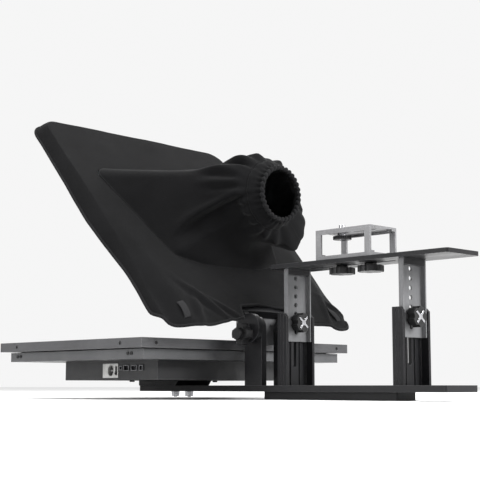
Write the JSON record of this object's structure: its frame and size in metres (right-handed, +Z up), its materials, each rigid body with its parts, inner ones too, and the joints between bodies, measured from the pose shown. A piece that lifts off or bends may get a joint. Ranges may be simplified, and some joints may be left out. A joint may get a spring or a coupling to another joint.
{
  "type": "teleprompter",
  "caption": "Camera-mounted teleprompter: flat reading monitor, 45 degree beamsplitter glass with black fabric hood, height-adjustable camera platform and cradle on one base plate.",
  "frame": {"origin": "on the tripod plate's underside, midway between its two threads", "axes": "+X to the operator's right, +Y towards the talent, +Z up"},
  "size_m": [0.4674, 0.7834, 0.4672],
  "materials": {
    "black_anodised": "satin black anodised",
    "grey_anodised": "satin grey anodised",
    "bright_steel": "turned and polished",
    "fastener": "black oxide",
    "knob_plastic": "moulded, matt",
    "monitor_paint": "brushed and anodised",
    "chassis_paint": "satin",
    "housing_paint": "fine powder coat",
    "screen": "anti-glare",
    "rubber": "matt",
    "circuit_board": "solder mask",
    "inlet_plastic": "light moulded bezel",
    "glass": "beamsplitter coated",
    "hood_fabric": "matt black woven"
  },
  "bodies": {
    "base": {"tripod_plate": "black_anodised", "base_plate": "black_anodised", "base_screws": "fastener", "rear_riser_channel": "black_anodised", "front_riser_channel": "black_anodised", "left_hinge_upright": "black_anodised", "right_hinge_upright": "black_anodised", "pivot_bolts": "fastener", "pivot_nuts": "fastener"},
    "camera_platform": {"camera_plate": "black_anodised", "rear_riser_bar": "grey_anodised", "front_riser_bar": "grey_anodised", "bar_head_blocks": "black_anodised", "platform_screws": "fastener", "riser_clamp_nuts": "fastener"},
    "rear_riser_knob": {"rear_riser_knob": "knob_plastic", "rear_riser_stud": "bright_steel"},
    "front_riser_knob": {"front_riser_knob": "knob_plastic", "front_riser_stud": "bright_steel"},
    "camera_cradle": {"cradle_base": "grey_anodised", "cradle_top": "grey_anodised", "cradle_left_side": "grey_anodised", "cradle_right_side": "grey_anodised", "cradle_screws": "fastener"},
    "rear_cradle_knob": {"rear_cradle_knob": "knob_plastic", "rear_cradle_stud": "bright_steel"},
    "front_cradle_knob": {"front_cradle_knob": "knob_plastic", "front_cradle_stud": "bright_steel"},
    "camera_screw": {"camera_screw": "bright_steel", "camera_screw_wheel": "black_anodised"},
    "monitor": {"monitor_frame": "monitor_paint", "frame_screws": "fastener", "lcd_panel": "screen", "lcd_chassis": "chassis_paint", "electronics_housing": "housing_paint", "electronics_cover": "housing_paint", "housing_feet": "rubber", "power_board": "circuit_board", "controller_board": "circuit_board", "mains_inlet": "inlet_plastic", "signal_connectors": "bright_steel", "monitor_mount_plate": "black_anodised", "mount_studs": "bright_steel"},
    "mains_switch": {"mains_switch": "knob_plastic"},
    "rear_thumb_nut": {"rear_thumb_nut": "bright_steel"},
    "front_thumb_nut": {"front_thumb_nut": "bright_steel"},
    "hood": {"left_hinge_cheek": "black_anodised", "right_hinge_cheek": "black_anodised", "hinge_cross_plate": "grey_anodised", "hinge_screws": "fastener", "glass_left_rail": "black_anodised", "glass_right_rail": "black_anodised", "glass_bottom_rail": "black_anodised", "glass_top_rail": "black_anodised", "beamsplitter_glass": "glass", "hood_face": "hood_fabric", "hood_shroud": "hood_fabric", "lens_cuff": "hood_fabric"},
    "tilt_lock_knob": {"tilt_lock_knob": "knob_plastic"}
  },
  "joints": [
    {"name": "platform_lift", "type": "slide", "parent": "base", "child": "camera_platform", "axis": [0, 0, 1], "range_m": [-0.062, 0.006]},
    {"name": "rear_riser_knob_turn", "type": "hinge", "parent": "camera_platform", "child": "rear_riser_knob", "pos_m": [0, -0.1114, 0.118], "axis": [0, 1, 0], "continuous": true},
    {"name": "front_riser_knob_turn", "type": "hinge", "parent": "camera_platform", "child": "front_riser_knob", "pos_m": [0, 0.1118, 0.118], "axis": [0, 1, 0], "continuous": true},
    {"name": "cradle_slide", "type": "slide", "parent": "camera_platform", "child": "camera_cradle", "axis": [0, 1, 0], "range_m": [-0.042, 0.06]},
    {"name": "rear_cradle_knob_turn", "type": "hinge", "parent": "camera_cradle", "child": "rear_cradle_knob", "pos_m": [0, -0.0386, 0.195], "axis": [0, 0, 1], "continuous": true},
    {"name": "front_cradle_knob_turn", "type": "hinge", "parent": "camera_cradle", "child": "front_cradle_knob", "pos_m": [0, 0.0165, 0.195], "axis": [0, 0, 1], "continuous": true},
    {"name": "camera_screw_turn", "type": "hinge", "parent": "camera_cradle", "child": "camera_screw", "pos_m": [0, 0.0158, 0.245], "axis": [0, 0, 1], "continuous": true},
    {"name": "monitor_slide", "type": "slide", "parent": "base", "child": "monitor", "axis": [0, 1, 0], "range_m": [-0.003, 0.04]},
    {"name": "rear_thumb_nut_turn", "type": "hinge", "parent": "monitor", "child": "rear_thumb_nut", "pos_m": [0, 0.36, 0.008], "axis": [0, 0, 1], "continuous": true},
    {"name": "front_thumb_nut_turn", "type": "hinge", "parent": "monitor", "child": "front_thumb_nut", "pos_m": [0, 0.395, 0.008], "axis": [0, 0, 1], "continuous": true},
    {"name": "mains_switch_rock", "type": "hinge", "parent": "monitor", "child": "mains_switch", "pos_m": [-0.161, 0.354, 0.045], "axis": [0, 1, 0], "range_deg": [-14, 0]},
    {"name": "hood_tilt", "type": "hinge", "parent": "base", "child": "hood", "pos_m": [0, 0.1687, 0.111], "axis": [1, 0, 0], "range_deg": [-8, 8]},
    {"name": "tilt_lock_turn", "type": "hinge", "parent": "base", "child": "tilt_lock_knob", "pos_m": [-0.06, 0.1687, 0.101], "axis": [1, 0, 0], "continuous": true}
  ]
}
